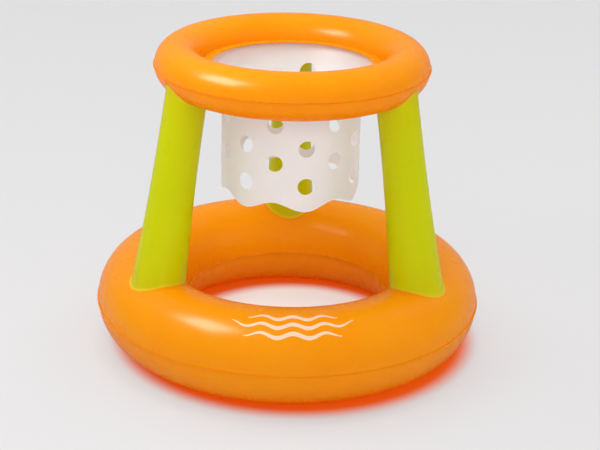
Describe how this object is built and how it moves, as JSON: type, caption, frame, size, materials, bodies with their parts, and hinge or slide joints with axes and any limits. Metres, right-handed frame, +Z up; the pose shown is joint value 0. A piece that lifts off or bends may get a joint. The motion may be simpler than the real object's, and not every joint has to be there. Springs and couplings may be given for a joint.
{
  "type": "floating basketball hoop",
  "caption": "Inflatable hoop for the pool: a welded vinyl base ring carries three tapered legs and a rim with a perforated net.",
  "frame": {"origin": "middle of the base ring's flat underside, on the floor or the water", "axes": "+Z up through the rim and the net; -Y is the front, between the two front legs; the rear leg stands at +Y"},
  "size_m": [0.674, 0.674, 0.535],
  "materials": {
    "ring_vinyl": "orange vinyl sheet, glossy, drawn tight by air",
    "leg_vinyl": "lime green vinyl sheet, satin gloss",
    "net_vinyl": "frosted, translucent vinyl sheet",
    "valve_vinyl": "clear, soft moulded vinyl"
  },
  "bodies": {
    "hoop": {"base_upper_panel": "ring_vinyl", "base_lower_panel": "ring_vinyl", "rim_upper_panel": "ring_vinyl", "rim_lower_panel": "ring_vinyl", "leg_left": "leg_vinyl", "leg_right": "leg_vinyl", "leg_rear": "leg_vinyl", "net": "net_vinyl", "base_valve_collar": "valve_vinyl", "rim_valve_collar": "valve_vinyl"},
    "base_valve_stem": {"base_valve_stem": "valve_vinyl"},
    "base_valve_plug": {"base_valve_plug": "valve_vinyl"},
    "base_valve_flap": {"base_valve_flap": "valve_vinyl"},
    "rim_valve_stem": {"rim_valve_stem": "valve_vinyl"},
    "rim_valve_plug": {"rim_valve_plug": "valve_vinyl"},
    "rim_valve_flap": {"rim_valve_flap": "valve_vinyl"}
  },
  "joints": [
    {"name": "base_stem_pull", "type": "slide", "parent": "hoop", "child": "base_valve_stem", "axis": [0.4698, 0.8138, 0.342], "range_m": [0, 0.01]},
    {"name": "base_plug_open", "type": "hinge", "parent": "base_valve_stem", "child": "base_valve_plug", "pos_m": [0.17676, 0.28516, 0.106], "axis": [0.171, 0.2962, -0.9397], "range_deg": [0, 150]},
    {"name": "base_flap_open", "type": "hinge", "parent": "base_valve_stem", "child": "base_valve_flap", "pos_m": [0.15294, 0.27649, 0.09893], "axis": [0.171, 0.2962, -0.9397], "range_deg": [0, 70], "stiffness_Nm_per_rad": 0.00002, "springref_deg": -22.92},
    {"name": "rim_stem_pull", "type": "slide", "parent": "hoop", "child": "rim_valve_stem", "axis": [-0.4505, 0.7803, 0.4339], "range_m": [0, 0.01]},
    {"name": "rim_plug_open", "type": "hinge", "parent": "rim_valve_stem", "child": "rim_valve_plug", "pos_m": [-0.10766, 0.20747, 0.51624], "axis": [-0.2169, 0.3758, -0.901], "range_deg": [0, 150]},
    {"name": "rim_flap_open", "type": "hinge", "parent": "rim_valve_stem", "child": "rim_valve_flap", "pos_m": [-0.1125, 0.18325, 0.50731], "axis": [-0.2169, 0.3758, -0.901], "range_deg": [0, 70], "stiffness_Nm_per_rad": 0.00002, "springref_deg": -22.92}
  ]
}
